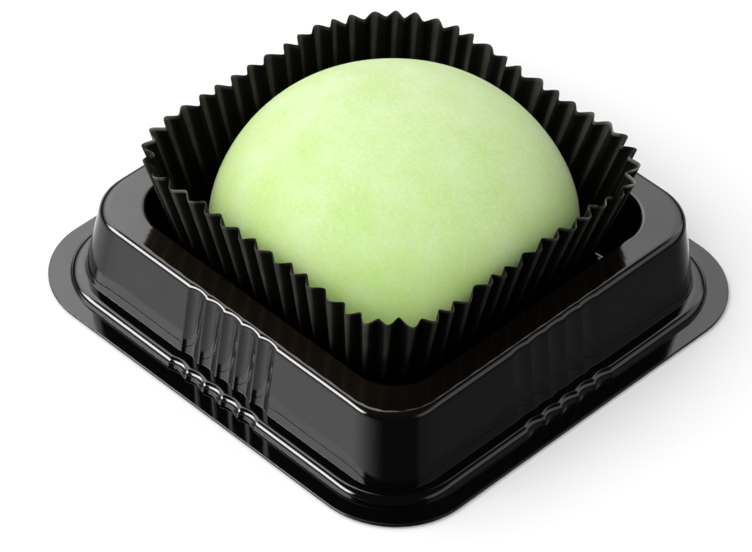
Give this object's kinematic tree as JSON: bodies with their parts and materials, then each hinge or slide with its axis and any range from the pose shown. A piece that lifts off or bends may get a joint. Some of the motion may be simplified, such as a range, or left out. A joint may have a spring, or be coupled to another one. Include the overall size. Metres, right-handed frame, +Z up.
{
  "type": "mochi rice cake",
  "caption": "Soft round rice cake dusted with starch, in a pleated paper case that stands in its own formed square tray.",
  "frame": {"origin": "middle of the tray's underside, on the surface it stands on", "axes": "+Z up; the tray's sides run along X and Y"},
  "size_m": [0.086, 0.086, 0.0356],
  "materials": {
    "mochi": "soft pale green rice dough, matte, dusted with starch",
    "paper": "black pleated paper with a faint satin sheen",
    "tray": "high gloss black formed sheet"
  },
  "bodies": {
    "root": {"mochi": "mochi", "paper_case": "paper", "tray": "tray"}
  },
  "joints": []
}
